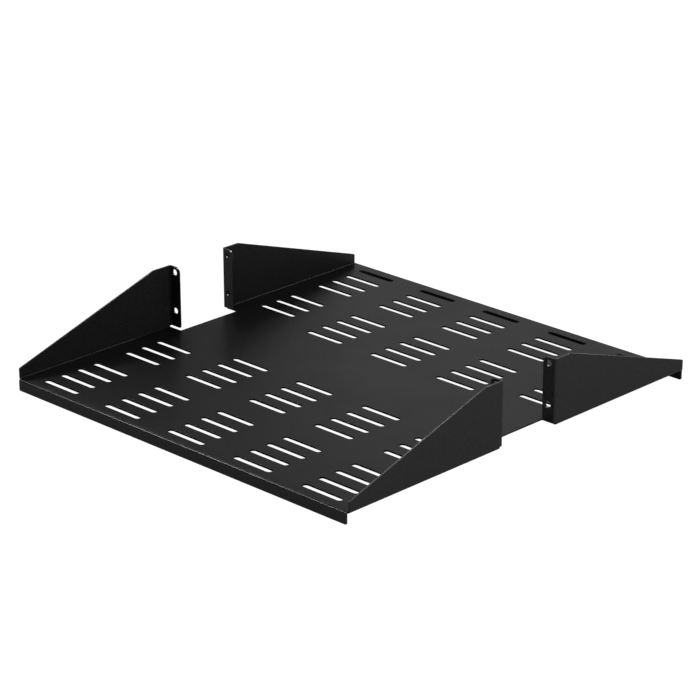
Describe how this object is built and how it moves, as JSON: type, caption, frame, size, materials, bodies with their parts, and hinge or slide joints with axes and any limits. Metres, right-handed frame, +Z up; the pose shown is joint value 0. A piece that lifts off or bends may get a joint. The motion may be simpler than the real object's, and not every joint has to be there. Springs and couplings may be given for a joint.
{
  "type": "vented centre-mount rack shelf",
  "caption": "Flat vented equipment shelf, folded from one steel sheet, whose side wings and flanges hold it at mid-depth to the front and rear faces of a two-post rack.",
  "frame": {"origin": "on the surface that both lips stand on, midway along the deck's width and depth", "axes": "+X across the rack, +Y from the front of the shelf to its rear, +Z up"},
  "size_m": [0.4826, 0.5044, 0.0832],
  "materials": {
    "black_powder_coat": "semi-gloss black powder coat with a fine grain"
  },
  "bodies": {
    "root": {"shelf": "black_powder_coat"}
  },
  "joints": []
}
